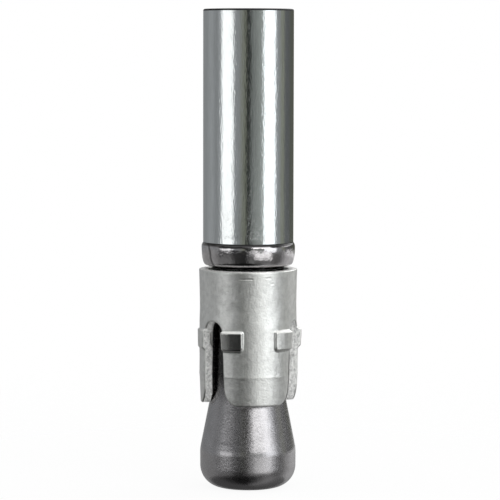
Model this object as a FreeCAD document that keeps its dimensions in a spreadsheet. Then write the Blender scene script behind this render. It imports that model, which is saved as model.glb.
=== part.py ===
"""Drop-in wedge anchor with an internal thread, in millimetres.

Two pieces: the anchor body, which is a threaded tube, a rolled collar, a neck and a
cone in one piece of steel, and the expansion sleeve, a strip of sheet steel that is
punched, embossed and wrapped round the neck. The frame's origin is the centre of the
flat foot under the cone, and +Z runs up the axis to the mouth of the thread.
"""

import math
import os

import FreeCAD, Part
import Sketcher

FULL_TURN = 360.0
LOBES = 3
TOLERANCE = 0.001

# Every driving dimension of the anchor, in millimetres and degrees.
SIZES = [
    ("tube_diameter", 15.1, "outside of the threaded tube"),
    ("tube_length", 38.8, "from the collar to the mouth"),
    ("rim_chamfer", 0.25, "outer edge of the mouth"),
    ("core_diameter", 10.2, "core of the M12 thread"),
    ("core_depth", 33.0, "straight part of the drilled hole"),
    ("drill_half_angle", 59.0, "half of the drill's point"),
    ("mouth_diameter", 12.6, "countersink at the mouth"),
    ("mouth_half_angle", 45.0, "half of the countersink"),
    ("collar_diameter", 15.74, "rolled collar, at its widest"),
    ("collar_height", 3.95, "rolled collar, underside to tube"),
    ("collar_shoulder", 0.4, "height of the bevel above the collar"),
    ("collar_taper_height", 1.25, "height of the collar's tapered lower part"),
    ("collar_taper_inset", 0.34, "how far that taper narrows"),
    ("collar_lip_height", 0.35, "height of the bevel under the taper"),
    ("collar_lip_inset", 0.37, "how far that bevel narrows"),
    ("collar_under_rise", 0.13, "how far the underside rises to its rim"),
    ("neck_cone_round", 3.0, "fillet from the neck to the cone"),
    ("cone_half_angle", 11.31, "slope of the cone"),
    ("belly_diameter", 16.1, "widest part of the cone"),
    ("belly_height", 6.45, "from the foot to the cone's slope"),
    ("belly_round", 6.0, "round from the belly to the slope"),
    ("foot_round", 3.7, "round from the foot to the belly"),
    ("sleeve_diameter", 16.3, "outside of the sleeve's lobes"),
    ("sleeve_wall", 1.55, "thickness of the sleeve's sheet"),
    ("sleeve_length", 22.4, "sleeve, end to end"),
    ("sleeve_waist_height", 16.4, "height of the waist above the lower end"),
    ("sleeve_waist_inset", 0.06, "how far the waist is drawn in"),
    ("sleeve_flare", 0.08, "how far the upper edge stands out"),
    ("sleeve_bevel", 0.22, "bevel of the sleeve's outer edges"),
    ("lobe_bend_height", 4.9, "bent band at the lobes' ends"),
    ("lobe_bend_inset", 0.12, "how far that band leans in"),
    ("end_play", 0.5, "gap between the sleeve and the collar"),
    ("neck_clearance", 0.65, "gap between the sleeve and the neck"),
    ("cone_clearance", 0.13, "gap between the lobes' ends and the cone"),
    ("slot_width", 4.02, "slot between two lobes, at its arch"),
    ("slot_height", 14.0, "from the lobes' ends to the arch"),
    ("slot_mouth_width", 5.3, "slot at the lobes' ends, without their rounds"),
    ("slot_crown", 0.2, "flat at the top of the arch"),
    ("lobe_round", 3.0, "corner round of a lobe"),
    ("seam_width", 0.4, "butt seam where the strip's ends meet"),
    ("pad_level", 10.75, "middle of the embossed pads above the lower end"),
    ("pad_height", 3.55, "embossed pads along the axis"),
    ("pad_spread", 84.0, "angle from pad to pad over a slot"),
    ("pad_proud", 0.7, "how far the pads stand out"),
    ("pad_bevel", 0.38, "bevel round a pad"),
    ("dimple_depth", 0.48, "hollow behind a pad"),
    ("dimple_margin", 0.55, "how much lower the hollow is than its pad, each side"),
    ("dimple_spread", 74.0, "angle from hollow to hollow over a slot"),
    ("cut_margin", 1.0, "how far a cutting profile passes the metal"),
]

# Lengths that follow from the driving dimensions, as expressions on the sheet.
TUBE = "(Sizes.tube_diameter / 2)"
CORE = "(Sizes.core_diameter / 2)"
MOUTH = "(Sizes.mouth_diameter / 2)"
COLLAR = "(Sizes.collar_diameter / 2)"
BELLY = "(Sizes.belly_diameter / 2)"
SLEEVE = "(Sizes.sleeve_diameter / 2)"
SLEEVE_INNER = f"({SLEEVE} - Sizes.sleeve_wall)"
NECK = f"({SLEEVE_INNER} - Sizes.neck_clearance)"
CONE_AT_SLEEVE = f"({SLEEVE_INNER} - Sizes.cone_clearance)"
CONE_SLOPE = "tan(Sizes.cone_half_angle * 1 deg)"
SLEEVE_BOTTOM = f"(Sizes.belly_height + ({BELLY} - {CONE_AT_SLEEVE}) / {CONE_SLOPE})"
SLEEVE_TOP = f"({SLEEVE_BOTTOM} + Sizes.sleeve_length)"
CONE_TOP = f"({SLEEVE_BOTTOM} + ({CONE_AT_SLEEVE} - {NECK}) / {CONE_SLOPE})"
COLLAR_BOTTOM = f"({SLEEVE_TOP} + Sizes.end_play)"
COLLAR_TOP = f"({COLLAR_BOTTOM} + Sizes.collar_height)"
MOUTH_LEVEL = f"({COLLAR_TOP} + Sizes.tube_length)"
PAD_LEVEL = f"({SLEEVE_BOTTOM} + Sizes.pad_level)"
SLOT_TOP = f"({SLEEVE_BOTTOM} + Sizes.slot_height)"


def make_sheet(doc):
    """Keep the driving dimensions in a spreadsheet, one row and one alias each."""
    sheet = doc.addObject("Spreadsheet::Sheet", "Sizes")
    for row, (alias, value, meaning) in enumerate(SIZES, start=1):
        sheet.set(f"A{row}", alias)
        sheet.set(f"B{row}", str(value))
        sheet.set(f"C{row}", meaning)
        sheet.setAlias(f"B{row}", alias)
    doc.recompute()
    return sheet


def origin_feature(body, role):
    """Find one of a body's own origin planes or axes."""
    for feature in body.Origin.OriginFeatures:
        if feature.Role == role:
            return feature
    raise RuntimeError(f"{body.Label} has no {role}")


def sketch_on_section(body, name):
    """Start a sketch on the XZ plane: sketch X is the radius and sketch Y the height."""
    sketch = body.newObject("Sketcher::SketchObject", name)
    sketch.AttachmentSupport = [(origin_feature(body, "XZ_Plane"), "")]
    sketch.MapMode = "FlatFace"
    return sketch


def measure(sketch, expression):
    """Work out an expression on the sheet, as a plain number."""
    result = sketch.evalExpression(expression)
    return float(getattr(result, "Value", result))


def bind(sketch, constraint, expression):
    """Add one dimension to a sketch and tie it to the sheet."""
    index = sketch.addConstraint(constraint)
    sketch.setExpression(f"Constraints[{index}]", expression)


def hold_point(sketch, geometry, end, corner):
    """Tie a point's distances from both sketch axes to the sheet."""
    for kind, other_axis, expression in zip(("DistanceX", "DistanceY"), (-2, -1), corner):
        size = measure(sketch, expression)
        if size == 0.0:
            on_axis = Sketcher.Constraint("PointOnObject", geometry, end, other_axis)
            sketch.addConstraint(on_axis)
        else:
            distance = Sketcher.Constraint(kind, -1, 1, geometry, end, size)
            bind(sketch, distance, expression)


def round_between(before, corner, after, radius):
    """Give the two ends and the centre of an arc that rounds a corner."""
    into = (before - corner).normalize()
    out = (after - corner).normalize()
    half = into.getAngle(out) / 2
    reach = radius / math.tan(half)
    middle = (into + out).normalize()
    centre = corner + middle * (radius / math.sin(half))
    return corner + into * reach, corner + out * reach, centre


def anticlockwise_arc(first, second, centre):
    """Make the short arc between two points, and say if it starts at the first one."""
    radius = (first - centre).Length
    angles = [math.atan2(end.y - centre.y, end.x - centre.x) for end in (first, second)]
    starts_first = (angles[1] - angles[0]) % math.tau < math.pi
    if not starts_first:
        angles.reverse()
    circle = Part.Circle(centre, FreeCAD.Vector(0, 0, 1), radius)
    return Part.ArcOfCircle(circle, angles[0], angles[1]), starts_first


def hold_round(sketch, before, after, ends, corner_point, corner):
    """Add the arc of a rounded corner, tangent to both sides, and tie its radius."""
    shape, starts_first = anticlockwise_arc(*ends)
    arc = sketch.addGeometry(shape, False)
    point = sketch.addGeometry(Part.Point(corner_point), True)
    first, last = (1, 2) if starts_first else (2, 1)
    sketch.addConstraint(Sketcher.Constraint("Tangent", before, 2, arc, first))
    sketch.addConstraint(Sketcher.Constraint("Tangent", arc, last, after, 1))
    sketch.addConstraint(Sketcher.Constraint("PointOnObject", point, 1, before))
    sketch.addConstraint(Sketcher.Constraint("PointOnObject", point, 1, after))
    hold_point(sketch, point, 1, corner[:2])
    bind(sketch, Sketcher.Constraint("Radius", arc, shape.Radius), corner[2])


def outline(sketch, corners):
    """Draw a closed outline of straight sides, with a tangent round where one is named.

    Each corner is (across, up) or (across, up, round), all as expressions on the sheet.
    """
    places = [FreeCAD.Vector(measure(sketch, c[0]), measure(sketch, c[1]), 0) for c in corners]
    count = len(corners)
    rounds = {}
    for i, corner in enumerate(corners):
        if len(corner) == 3:
            radius = measure(sketch, corner[2])
            after = places[(i + 1) % count]
            rounds[i] = round_between(places[i - 1], places[i], after, radius)
    sides = []
    for i in range(count):
        after = (i + 1) % count
        start = rounds[i][1] if i in rounds else places[i]
        finish = rounds[after][0] if after in rounds else places[after]
        sides.append(sketch.addGeometry(Part.LineSegment(start, finish), False))
    for i, corner in enumerate(corners):
        before, after = sides[i - 1], sides[i]
        if i in rounds:
            hold_round(sketch, before, after, rounds[i], places[i], corner)
        else:
            sketch.addConstraint(Sketcher.Constraint("Coincident", before, 2, after, 1))
            hold_point(sketch, after, 1, corner)


def turned(body, kind, name, sketch):
    """Turn a sketch round the Z axis, as metal added or as metal cut away."""
    feature = body.newObject(kind, name)
    feature.Profile = sketch
    feature.ReferenceAxis = (sketch, ["V_Axis"])
    feature.Angle = FULL_TURN
    return feature


def cut_checked(doc, body, feature):
    """Recompute after a cut, and stop if it took no metal away."""
    before = feature.BaseFeature.Shape.Volume
    doc.recompute()
    if feature.Shape.Volume > before - TOLERANCE:
        raise RuntimeError(f"{feature.Label} cuts nothing from {body.Label}")


def round_the_lobes(doc, body, feature, name):
    """Repeat a feature once for each lobe, evenly round the axis."""
    pattern = body.newObject("PartDesign::PolarPattern", name)
    pattern.Originals = [feature]
    pattern.Axis = (origin_feature(body, "Z_Axis"), [""])
    pattern.Angle = FULL_TURN
    pattern.Occurrences = LOBES
    body.Tip = pattern
    doc.recompute()
    return pattern


def make_anchor_body(doc):
    """Turn the tube, collar, neck and cone from one bar, and drill it from the mouth."""
    body = doc.addObject("PartDesign::Body", "AnchorBody")
    body.Label = "anchor_body"

    section = sketch_on_section(body, "BodySection")
    taper = f"{COLLAR} - Sizes.collar_taper_inset"
    lip = f"{COLLAR_BOTTOM} + Sizes.collar_under_rise"
    outline(section, [
        ("0", "0"),
        (BELLY, "0", "Sizes.foot_round"),
        (BELLY, "Sizes.belly_height", "Sizes.belly_round"),
        (NECK, CONE_TOP, "Sizes.neck_cone_round"),
        (NECK, COLLAR_BOTTOM),
        (f"{taper} - Sizes.collar_lip_inset", lip),
        (taper, f"{lip} + Sizes.collar_lip_height"),
        (COLLAR, f"{lip} + Sizes.collar_lip_height + Sizes.collar_taper_height"),
        (COLLAR, f"{COLLAR_TOP} - Sizes.collar_shoulder"),
        (TUBE, COLLAR_TOP),
        (TUBE, f"{MOUTH_LEVEL} - Sizes.rim_chamfer"),
        (f"{TUBE} - Sizes.rim_chamfer", MOUTH_LEVEL),
        ("0", MOUTH_LEVEL),
    ])
    turned(body, "PartDesign::Revolution", "BodyTurned", section)
    doc.recompute()

    hole = sketch_on_section(body, "HoleSection")
    hole_floor = f"({MOUTH_LEVEL} - Sizes.core_depth)"
    outline(hole, [
        ("0", f"{hole_floor} - {CORE} / tan(Sizes.drill_half_angle * 1 deg)"),
        (CORE, hole_floor),
        (CORE, f"{MOUTH_LEVEL} - ({MOUTH} - {CORE}) / tan(Sizes.mouth_half_angle * 1 deg)"),
        (MOUTH, MOUTH_LEVEL),
        (MOUTH, f"{MOUTH_LEVEL} + Sizes.cut_margin"),
        ("0", f"{MOUTH_LEVEL} + Sizes.cut_margin"),
    ])
    drilled = turned(body, "PartDesign::Groove", "BodyDrilled", hole)
    cut_checked(doc, body, drilled)
    return body


def wrap_sleeve(doc, body):
    """Turn the wrapped strip as a closed ring, with its waist and its bent lower band."""
    section = sketch_on_section(body, "SleeveSection")
    lower_edge = f"{SLEEVE} - Sizes.lobe_bend_inset"
    upper_edge = f"{SLEEVE} + Sizes.sleeve_flare"
    outline(section, [
        (SLEEVE_INNER, SLEEVE_BOTTOM),
        (f"{lower_edge} - Sizes.sleeve_bevel", SLEEVE_BOTTOM),
        (lower_edge, f"{SLEEVE_BOTTOM} + Sizes.sleeve_bevel"),
        (SLEEVE, f"{SLEEVE_BOTTOM} + Sizes.lobe_bend_height"),
        (SLEEVE, PAD_LEVEL),
        (f"{SLEEVE} - Sizes.sleeve_waist_inset",
         f"{SLEEVE_BOTTOM} + Sizes.sleeve_waist_height"),
        (upper_edge, f"{SLEEVE_TOP} - Sizes.sleeve_bevel"),
        (f"{upper_edge} - Sizes.sleeve_bevel", SLEEVE_TOP),
        (SLEEVE_INNER, SLEEVE_TOP),
    ])
    turned(body, "PartDesign::Revolution", "SleeveWrapped", section)
    doc.recompute()


def sketch_over_slot(body, name):
    """Start a sketch in the plane of the axis that runs through the first slot's middle."""
    sketch = body.newObject("Sketcher::SketchObject", name)
    sketch.AttachmentSupport = [(origin_feature(body, "YZ_Plane"), "")]
    sketch.MapMode = "FlatFace"
    return sketch


def emboss_pads(doc, body):
    """Raise one band over each slot, bevel it, and hollow the metal behind it."""
    band = sketch_over_slot(body, "PadSection")
    pad_outside = f"{SLEEVE} + Sizes.pad_proud"
    outline(band, [
        (f"{SLEEVE} - Sizes.sleeve_wall / 2", f"{PAD_LEVEL} - Sizes.pad_height / 2"),
        (pad_outside, f"{PAD_LEVEL} - Sizes.pad_height / 2"),
        (pad_outside, f"{PAD_LEVEL} + Sizes.pad_height / 2"),
        (f"{SLEEVE} - Sizes.sleeve_wall / 2", f"{PAD_LEVEL} + Sizes.pad_height / 2"),
    ])
    raised = turned(body, "PartDesign::Revolution", "PadRaised", band)
    raised.Midplane = True
    raised.setExpression("Angle", "Sizes.pad_spread")
    doc.recompute()
    pattern = round_the_lobes(doc, body, raised, "PadsRaised")

    outer = measure(band, pad_outside)
    rims = []
    for number, edge in enumerate(pattern.Shape.Edges, start=1):
        reaches = [math.hypot(v.Point.x, v.Point.y) for v in edge.Vertexes]
        if all(abs(reach - outer) < TOLERANCE for reach in reaches):
            rims.append(f"Edge{number}")
    bevel = body.newObject("PartDesign::Chamfer", "PadBevel")
    bevel.Base = (pattern, rims)
    bevel.setExpression("Size", "Sizes.pad_bevel")
    doc.recompute()

    dimple = sketch_over_slot(body, "DimpleSection")
    outline(dimple, [
        (f"{SLEEVE_INNER} - Sizes.neck_clearance",
         f"{PAD_LEVEL} - Sizes.pad_height / 2 + Sizes.dimple_margin"),
        (f"{SLEEVE_INNER} + Sizes.dimple_depth",
         f"{PAD_LEVEL} - Sizes.pad_height / 2 + Sizes.dimple_margin"),
        (f"{SLEEVE_INNER} + Sizes.dimple_depth",
         f"{PAD_LEVEL} + Sizes.pad_height / 2 - Sizes.dimple_margin"),
        (f"{SLEEVE_INNER} - Sizes.neck_clearance",
         f"{PAD_LEVEL} + Sizes.pad_height / 2 - Sizes.dimple_margin"),
    ])
    hollow = turned(body, "PartDesign::Groove", "DimplePressed", dimple)
    hollow.Midplane = True
    hollow.setExpression("Angle", "Sizes.dimple_spread")
    cut_checked(doc, body, hollow)
    round_the_lobes(doc, body, hollow, "DimplesPressed")


def slot_outline(body, name, outward):
    """Draw a slot's outline across +Y at a distance from the axis.

    Its widths grow with the distance, so that a loft of two of them cuts the wall
    square to its surface, as in a strip that is punched flat and then wrapped.
    """
    sketch = sketch_on_section(body, name)
    sketch.setExpression(".AttachmentOffset.Base.z", f"-1 mm * {outward}")
    share = f"({outward} / {SLEEVE})"
    arch = f"(Sizes.slot_width / 2 * {share})"
    arch_round = f"((Sizes.slot_width - Sizes.slot_crown) / 2 * {share})"
    mouth = f"(Sizes.slot_mouth_width / 2 * {share})"
    lobe_round = f"(Sizes.lobe_round * {share})"
    side = f"({mouth} + {lobe_round} + Sizes.cut_margin)"
    below = f"{SLEEVE_BOTTOM} - Sizes.cut_margin"
    outline(sketch, [
        (side, below),
        (side, SLEEVE_BOTTOM),
        (mouth, SLEEVE_BOTTOM, lobe_round),
        (arch, SLOT_TOP, arch_round),
        (f"-1 * {arch}", SLOT_TOP, arch_round),
        (f"-1 * {mouth}", SLEEVE_BOTTOM, lobe_round),
        (f"-1 * {side}", SLEEVE_BOTTOM),
        (f"-1 * {side}", below),
    ])
    return sketch


def punch_slots(doc, body):
    """Cut the slots between the lobes, square to the wall, from the lower end."""
    near = slot_outline(body, "SlotInside", f"({SLEEVE_INNER} / 2)")
    far = slot_outline(body, "SlotOutside", f"({SLEEVE} + Sizes.pad_proud + Sizes.cut_margin)")
    doc.recompute()
    slot = body.newObject("PartDesign::SubtractiveLoft", "SlotPunched")
    slot.Profile = near
    slot.Sections = [far]
    slot.Ruled = True
    cut_checked(doc, body, slot)
    round_the_lobes(doc, body, slot, "SlotsPunched")


def open_seam(doc, body):
    """Cut the narrow seam above the first slot, where the ends of the strip meet."""
    sketch = sketch_on_section(body, "SeamOutline")
    half = "(Sizes.seam_width / 2)"
    low = f"{SLOT_TOP} - Sizes.cut_margin"
    high = f"{SLEEVE_TOP} + Sizes.cut_margin"
    outline(sketch, [
        (half, low),
        (half, high),
        (f"-1 * {half}", high),
        (f"-1 * {half}", low),
    ])
    seam = body.newObject("PartDesign::Pocket", "SeamOpen")
    seam.Profile = sketch
    seam.setExpression("Length", f"{SLEEVE} + Sizes.sleeve_flare + Sizes.cut_margin")
    doc.recompute()
    middle = FreeCAD.Vector(0, measure(sketch, SLEEVE) - TOLERANCE, measure(sketch, SLOT_TOP) + 1)
    if seam.Shape.isInside(middle, TOLERANCE, True):
        raise RuntimeError("the seam is cut in the wrong side of the sleeve")


def make_expansion_sleeve(doc):
    """Wrap the strip, emboss its pads, punch its slots and leave its seam open."""
    body = doc.addObject("PartDesign::Body", "ExpansionSleeve")
    body.Label = "expansion_sleeve"
    wrap_sleeve(doc, body)
    emboss_pads(doc, body)
    punch_slots(doc, body)
    open_seam(doc, body)
    return body


def check_document(doc, bodies):
    """Stop if any object failed, or if a piece is not one valid solid."""
    for item in doc.Objects:
        if "Invalid" in item.State or "Error" in item.State:
            raise RuntimeError(f"{item.Label} failed: {item.State}")
    for body in bodies:
        if body.Shape.isNull() or not body.Shape.isValid():
            raise RuntimeError(f"{body.Label} has no valid shape")
        if len(body.Shape.Solids) != 1:
            raise RuntimeError(f"{body.Label} is not one solid")


def main():
    doc = FreeCAD.newDocument("drop_in_anchor")
    make_sheet(doc)
    bodies = [make_anchor_body(doc), make_expansion_sleeve(doc)]
    doc.recompute()
    check_document(doc, bodies)
    os.makedirs("parts", exist_ok=True)
    for body in bodies:
        body.Shape.exportStep(f"parts/{body.Label}.step")
        box = body.Shape.BoundBox
        print(body.Label, "volume", round(body.Shape.Volume, 1),
              "height", round(box.ZMin, 3), "to", round(box.ZMax, 3))


main()
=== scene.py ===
import math

import bmesh
import bpy
import numpy as np
from mathutils import Matrix, Vector, noise


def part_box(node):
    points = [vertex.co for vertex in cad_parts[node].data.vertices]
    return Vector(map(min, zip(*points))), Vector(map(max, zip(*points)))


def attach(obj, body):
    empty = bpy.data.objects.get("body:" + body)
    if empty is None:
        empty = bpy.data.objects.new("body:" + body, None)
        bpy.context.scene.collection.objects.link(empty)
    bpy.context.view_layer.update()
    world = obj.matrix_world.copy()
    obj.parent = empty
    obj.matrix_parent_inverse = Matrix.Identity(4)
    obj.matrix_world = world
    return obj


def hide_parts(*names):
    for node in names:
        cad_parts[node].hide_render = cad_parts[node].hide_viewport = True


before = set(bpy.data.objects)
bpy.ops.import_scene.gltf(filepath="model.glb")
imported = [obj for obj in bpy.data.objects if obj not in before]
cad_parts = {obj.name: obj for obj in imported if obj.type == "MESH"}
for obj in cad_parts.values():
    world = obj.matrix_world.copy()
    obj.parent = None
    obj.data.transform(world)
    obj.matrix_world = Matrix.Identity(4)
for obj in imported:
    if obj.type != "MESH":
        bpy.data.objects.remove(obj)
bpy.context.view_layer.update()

MM = 0.001
LOBES = 3

# Levels of the anchor, read from the solids.
MOUTH_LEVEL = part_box("anchor_body")[1].z
SLEEVE_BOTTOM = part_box("expansion_sleeve")[0].z
SLEEVE_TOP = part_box("expansion_sleeve")[1].z

# Anchor body: its tube and rim.
AROUND = 180
RING_ANGLES = [math.tau * j / AROUND for j in range(AROUND)]
TUBE_RADIUS = 7.55 * MM
TUBE_ROWS = 43
RIM_ROUND = 0.28 * MM
RIM_MARGIN = 0.04 * MM
RING_MARGIN = 0.02 * MM

# Its bore and thread.
CORE_RADIUS = 5.1 * MM
CORE_DEPTH = 33.0 * MM
DRILL_RISE = math.tan(math.radians(31.0))
MOUTH_RADIUS = 6.3 * MM
THREAD_PITCH = 1.75 * MM
THREAD_DEPTH = 0.9 * MM
THREAD_LENGTH = 26.0 * MM
THREAD_GRID_LENGTH = 28.0 * MM
THREAD_ROWS = 256
THREAD_ROOT = 0.11 * MM
THREAD_FLANK = 0.52 * MM

# Its collar. The profile's two lists give radius and height above the collar's foot, then
# radius and depth below its top.
COLLAR_HEIGHT = 3.95 * MM
END_PLAY = 0.5 * MM
COLLAR_FOOT = SLEEVE_TOP + END_PLAY
COLLAR_MIDDLE = COLLAR_FOOT + COLLAR_HEIGHT / 2
COLLAR_TOP = COLLAR_FOOT + COLLAR_HEIGHT
COLLAR_SHOULDER = 0.08 * MM
COLLAR_RISING_MM = (
    (6.62, 0.05), (6.95, 0.12), (7.18, 0.2), (7.35, 0.34), (7.47, 0.54), (7.57, 0.82),
    (7.65, 1.12), (7.72, 1.48), (7.77, 1.85), (7.8, 2.25), (7.82, 2.65),
)
COLLAR_CLOSING_MM = (
    (7.83, 0.9), (7.825, 0.68), (7.8, 0.48), (7.75, 0.32), (7.68, 0.18), (7.6, 0.08),
    (7.556, 0.01),
)

# Its neck, cone and foot.
NECK_RADIUS = 5.95 * MM
NECK_FILLET = 0.3 * MM
NECK_ROUND = 3.0 * MM
CONE_ANGLE = math.radians(11.31)
BELLY_RADIUS = 8.05 * MM
BELLY_HEIGHT = 6.45 * MM
BELLY_ROUND = 6.0 * MM
FOOT_ROUND = 3.7 * MM
FLAT_FOOT = 0.1 * MM

# How rolling and forging left the collar and the cone uneven.
WANDER_LENGTH = 9.0 * MM
WANDER_SINK = 0.02 * MM
ROLLED_REACH = 1.6 * MM
ROLLED_WANDER = 0.035 * MM
FORGED_TOP = 13.0 * MM
FORGED_FADE = 6.0 * MM
FORGED_WANDER = 0.03 * MM
FORGED_SHIFT = Vector((4.0, 2.0, 1.0))
PARTING_LEVEL = 7.7 * MM
PARTING_WIDTH = 0.12 * MM
PARTING_RIDGE = 0.03 * MM
CREASE_AZIMUTH = math.radians(202.5)
CREASE_LEAN = math.radians(5.0)
CREASE_HALF = math.radians(3.2)
CREASE_DEPTH = 0.16 * MM
CREASE_RISE = 2.0 * MM

# Where painted shade darkens its finish, and how dark.
# Painted shade on the neck, which darkens upwards where the sleeve shades it.
NECK_PAINTED_SHADE_LOW = 14.5 * MM
NECK_PAINTED_SHADE_HIGH = 19.0 * MM
NECK_PAINTED_SHADE_TONE = 0.05
# Painted shade in the corner just under the tube.
CORNER_PAINTED_SHADE_LOW = COLLAR_TOP - 0.55 * MM
CORNER_PAINTED_SHADE_HIGH = CORNER_PAINTED_SHADE_LOW + 0.3 * MM
CORNER_PAINTED_SHADE_TONE = 0.04
# Painted shade along the lap line across the collar.
CREASE_PAINTED_SHADE_TONE = 0.03
CREASE_PAINTED_SHADE_SHARE = 0.85

# Expansion sleeve: the wrapped sheet.
SLEEVE_RADIUS = 8.15 * MM
SLEEVE_WALL = 1.55 * MM
WAIST_LEVEL = SLEEVE_BOTTOM + 16.4 * MM
WAIST_INSET = 0.06 * MM
TOP_FLARE = 0.07 * MM
TOP_FLARE_POWER = 1.6
BEND_LEVEL = SLEEVE_BOTTOM + 4.9 * MM
BEND_INSET = 0.2 * MM
BEND_RIDGE = 0.02 * MM
BEND_RIDGE_HALF = 0.55 * MM
UNEVEN = 0.02 * MM

# Its lobes, slots and seam.
LOBE_HALF_TURN = math.radians(60.0)
LOBE_ROUND = 3.0 * MM
SLOT_TOP = SLEEVE_BOTTOM + 14.0 * MM
SLOT_HALF = 2.01 * MM
SLOT_MOUTH_HALF = 2.65 * MM
ARCH_ROUND = 1.91 * MM
SEAM_HALF = 0.2 * MM
LOBE_FLARE = 0.3 * MM
LOBE_FLARE_START = LOBE_HALF_TURN / 2
LOBE_FLARE_SPAN = LOBE_HALF_TURN * 0.26
LOBE_FLARE_FADE = 3.0 * MM

# Its pads, with the hollows behind them.
PAD_LEVEL = SLEEVE_BOTTOM + 10.75 * MM
PAD_HALF_HEIGHT = 1.775 * MM
PAD_TOP = PAD_LEVEL + PAD_HALF_HEIGHT
PAD_END = math.radians(18.0)
PAD_PROUD = 0.68 * MM
PAD_SLOPE = 0.42 * MM
PAD_TOP_SLOPE = 0.15 * MM
PAD_FOOT_SLOPE = 0.6 * MM
PAD_CORNER = 0.65 * MM
PAD_TILT = 0.2 * MM
PAD_LEAN = 0.26 * MM
PAD_HIGH_TURN = math.radians(43.0)
BURNISHED_RISE = 0.6
DIMPLE_DEPTH = 0.45 * MM
DIMPLE_INSET = 0.5 * MM

# Its edges.
ROLLOVER = 0.26 * MM
TOP_BREAK = 0.16 * MM
INNER_BREAK = 0.1 * MM
CUT_STEPS = 6
CUT_ROUGH = 0.03 * MM
CUT_GRAIN = 0.35 * MM
CUT_SEED = 1
EDGE_OFFSETS = (0.3 * MM, 0.17 * MM, 0.08 * MM, 0.03 * MM, 0.0)

# Its dents, as azimuth, level, half length and depth.
DENTS = (
    (math.radians(254.8), SLEEVE_TOP - 1.2 * MM, 1.3 * MM, 0.07 * MM),
    (math.radians(281.0), SLEEVE_TOP - 1.05 * MM, 0.5 * MM, 0.035 * MM),
    (math.radians(286.5), SLEEVE_TOP - 2.0 * MM, 0.35 * MM, 0.03 * MM),
)
DENT_HALF_HEIGHT = 0.17 * MM

# Distances between the sleeve's rows of points.
FINE_ROW = 0.09 * MM
PLAIN_ROW = 0.27 * MM
FINE_REACH = 0.62 * MM
UPPER_ROW = 0.33 * MM
DENT_ROW = 0.08 * MM
DENT_MARGIN = 0.2 * MM

# Finishes of each piece, in the order of its material slots.
BODY_FINISHES = ("tube", "collar", "cone", "thread", "rim")
SLEEVE_FINISHES = ("sleeve", "cut", "pad")

# Camera: the photograph's own view of the anchor.
CAMERA_AZIMUTH = math.radians(-13.2)
CAMERA_DISTANCE = 434.0 * MM
EYE_LEVEL = 72.8 * MM
AIM_LEVEL = 39.83 * MM
AIM_RIGHT = 0.3 * MM
CAMERA_ROLL = math.radians(0.1)
CAMERA_FIELD = math.radians(10.98)

# Studio: a round tent of glowing panels, hidden from the camera itself, and a floor. Heights
# are in metres, turns in shares of a full turn, and powers and tones in shares of TENT_PEAK.
DEGREE = 1.0 / 360.0
TENT_RADIUS = 1.3
TENT_LOW = -0.9
TENT_HIGH = 1.6
TENT_PEAK = 3.0
BAND_LOW = -0.1
BAND_HIGH = 0.3
BAND_EDGE = 0.015
BAND_FADE = 0.06
STRIP_LOW = -0.1
STRIP_HIGH = 0.2
STRIP_EDGE = 0.01
STRIP_FADE = 0.08
STRIP_POWER = 0.44
SOFTBOX_LOW = -0.5
SOFTBOX_HIGH = 1.1
SOFTBOX_POWER = 0.27
LIFT_HEIGHT = 0.25
LOWERED_FROM = -0.155
LOWERED_FADE = 0.03
DEEP_FROM = -0.2
DEEP_FADE = 0.04
SHADED_LOW = -0.25
SHADED_SHARE = 0.78
PANEL_EDGE = 0.1
CROWN_LEVEL = 0.95
CROWN_TONE = 0.42
FLOOR_RADIUS = 0.2
FLOOR_DROP = 0.01 * MM
FLOOR_FADE_START = 0.15
FLOOR_FADE_END = 0.95
FLOOR_GLOW = 0.93


def new_object(name, data):
    """Add an object to the scene."""
    made = bpy.data.objects.new(name, data)
    bpy.context.scene.collection.objects.link(made)
    return made


# Camera


def make_camera():
    """Stand the camera where the photograph was taken from."""
    data = bpy.data.cameras.new("photo_camera")
    data.angle = CAMERA_FIELD
    data.clip_start = 0.01
    camera = new_object("photo_camera", data)
    back = Vector((math.sin(CAMERA_AZIMUTH), -math.cos(CAMERA_AZIMUTH), 0.0))
    right = Vector((math.cos(CAMERA_AZIMUTH), math.sin(CAMERA_AZIMUTH), 0.0))
    camera.location = back * CAMERA_DISTANCE + Vector((0, 0, EYE_LEVEL))
    aim = right * AIM_RIGHT + Vector((0, 0, AIM_LEVEL))
    turn = (aim - camera.location).to_track_quat("-Z", "Y").to_matrix().to_4x4()
    camera.rotation_euler = (turn @ Matrix.Rotation(CAMERA_ROLL, 4, "Z")).to_euler()
    bpy.context.scene.camera = camera


# Node graphs


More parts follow.
